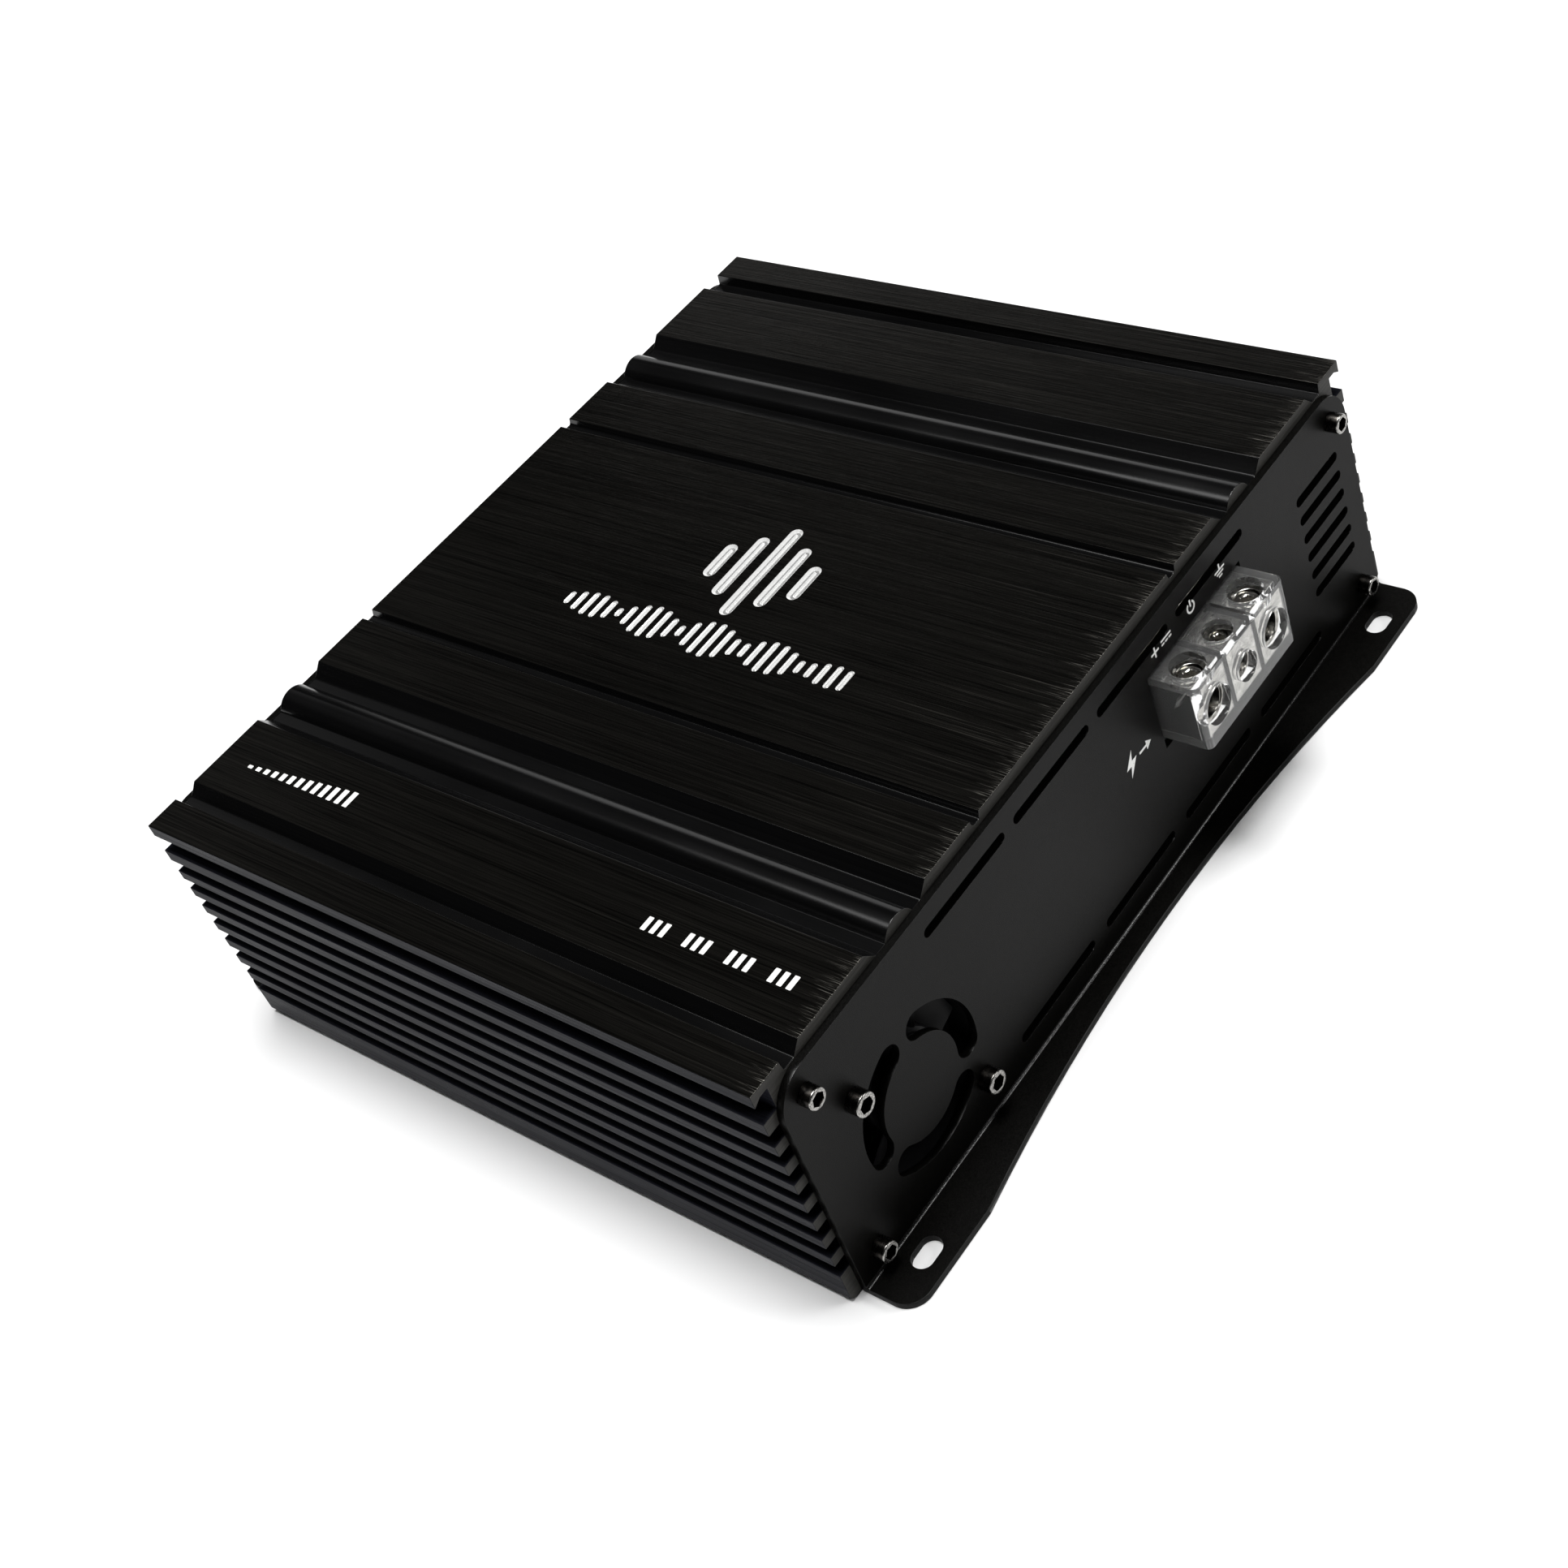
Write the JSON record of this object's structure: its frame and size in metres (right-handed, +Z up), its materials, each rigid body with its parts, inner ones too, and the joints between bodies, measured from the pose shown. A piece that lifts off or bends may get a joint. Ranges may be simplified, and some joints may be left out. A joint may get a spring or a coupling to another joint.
{
  "type": "car amplifier",
  "caption": "Finned black aluminium car amplifier with bent end plates, a cooling fan behind a guard, a clear power terminal block, and inputs, level controls and speaker outputs opposite.",
  "frame": {"origin": "bottom centre of the case, on the surface that the mounting feet stand on", "axes": "+Z up, Y along the extrusion with the power and fan end at -Y, X across it with the fan at -X"},
  "size_m": [0.225, 0.212, 0.0672],
  "materials": {
    "anodised_aluminium": "black brushed anodised",
    "coated_steel": "fine satin black powder coat",
    "black_screw": "black oxide with bright worn edges",
    "clear_plastic": "clear polished acrylic",
    "plated_brass": "nickel plated",
    "plated_steel": "zinc plated",
    "fan_plastic": "fine moulded",
    "black_plastic": "moulded",
    "switch_plastic": "moulded white",
    "lamp_plastic": "translucent blue",
    "circuit_board": "green solder mask",
    "thermal_pad": "grey silicone",
    "winding_copper": "enamelled copper",
    "capacitor_sleeve": "shrink sleeve"
  },
  "bodies": {
    "chassis": {"heatsink_shell": "anodised_aluminium", "bottom_cover": "coated_steel", "cover_screws": "black_screw", "front_end_plate": "coated_steel", "front_plate_screws": "black_screw", "rear_end_plate": "coated_steel", "rear_plate_screws": "black_screw", "fan_frame": "fan_plastic", "fan_stator": "winding_copper", "fan_screws": "black_screw", "fan_nuts": "plated_steel", "power_terminal_housing": "clear_plastic", "power_contact_positive": "plated_brass", "power_contact_remote": "plated_brass", "power_contact_ground": "plated_brass", "rca_housing_front": "black_plastic", "rca_housing_rear": "black_plastic", "rca_barrels": "plated_brass", "rca_insulators": "switch_plastic", "control_board": "circuit_board", "level_control_bodies": "black_plastic", "crossover_switch_bodies": "black_plastic", "status_light": "lamp_plastic", "speaker_terminal_housing": "black_plastic", "speaker_terminal_plates": "plated_brass", "speaker_terminal_screws": "plated_steel", "main_board": "circuit_board", "board_standoffs": "plated_brass", "board_screws": "plated_steel", "power_transistors_left": "black_plastic", "power_transistors_right": "black_plastic", "thermal_pad_left": "thermal_pad", "thermal_pad_right": "thermal_pad", "clamp_bar_left": "plated_steel", "clamp_bar_right": "plated_steel", "clamp_screws_left": "plated_steel", "clamp_screws_right": "plated_steel", "transformer_bases": "black_plastic", "power_transformers": "winding_copper", "input_capacitors": "capacitor_sleeve", "rail_capacitors": "capacitor_sleeve", "output_inductors": "winding_copper", "driver_card": "circuit_board", "driver_chips": "black_plastic"},
    "fan": {"fan_rotor": "fan_plastic"},
    "positive_screw": {"power_screw_positive": "plated_brass"},
    "remote_screw": {"power_screw_remote": "plated_brass"},
    "ground_screw": {"power_screw_ground": "plated_brass"},
    "front_level": {"front_level_knob": "black_plastic"},
    "rear_level": {"rear_level_knob": "black_plastic"},
    "low_pass": {"low_pass_knob": "black_plastic"},
    "high_pass": {"high_pass_knob": "black_plastic"},
    "front_switch": {"front_switch_slider": "switch_plastic"},
    "rear_switch": {"rear_switch_slider": "switch_plastic"}
  },
  "joints": [
    {"name": "fan_spin", "type": "hinge", "parent": "chassis", "child": "fan", "pos_m": [-0.0772, -0.0875, 0.0281], "axis": [0, 1, 0], "continuous": true},
    {"name": "positive_clamp", "type": "slide", "parent": "chassis", "child": "positive_screw", "axis": [0, 0, 1], "range_m": [-0.004, 0.0015]},
    {"name": "remote_clamp", "type": "slide", "parent": "chassis", "child": "remote_screw", "axis": [0, 0, 1], "range_m": [-0.0026, 0.0015]},
    {"name": "ground_clamp", "type": "slide", "parent": "chassis", "child": "ground_screw", "axis": [0, 0, 1], "range_m": [-0.004, 0.0015]},
    {"name": "front_level_turn", "type": "hinge", "parent": "chassis", "child": "front_level", "pos_m": [0.044, 0.0923, 0.0422], "axis": [0, 1, 0], "range_deg": [-150, 150]},
    {"name": "rear_level_turn", "type": "hinge", "parent": "chassis", "child": "rear_level", "pos_m": [0.03, 0.0923, 0.0422], "axis": [0, 1, 0], "range_deg": [-150, 150]},
    {"name": "low_pass_turn", "type": "hinge", "parent": "chassis", "child": "low_pass", "pos_m": [0.016, 0.0923, 0.0422], "axis": [0, 1, 0], "range_deg": [-150, 150]},
    {"name": "high_pass_turn", "type": "hinge", "parent": "chassis", "child": "high_pass", "pos_m": [0.002, 0.0923, 0.0422], "axis": [0, 1, 0], "range_deg": [-150, 150]},
    {"name": "front_switch_slide", "type": "slide", "parent": "chassis", "child": "front_switch", "axis": [1, 0, 0], "range_m": [-0.0025, 0.0025]},
    {"name": "rear_switch_slide", "type": "slide", "parent": "chassis", "child": "rear_switch", "axis": [1, 0, 0], "range_m": [-0.0025, 0.0025]}
  ]
}
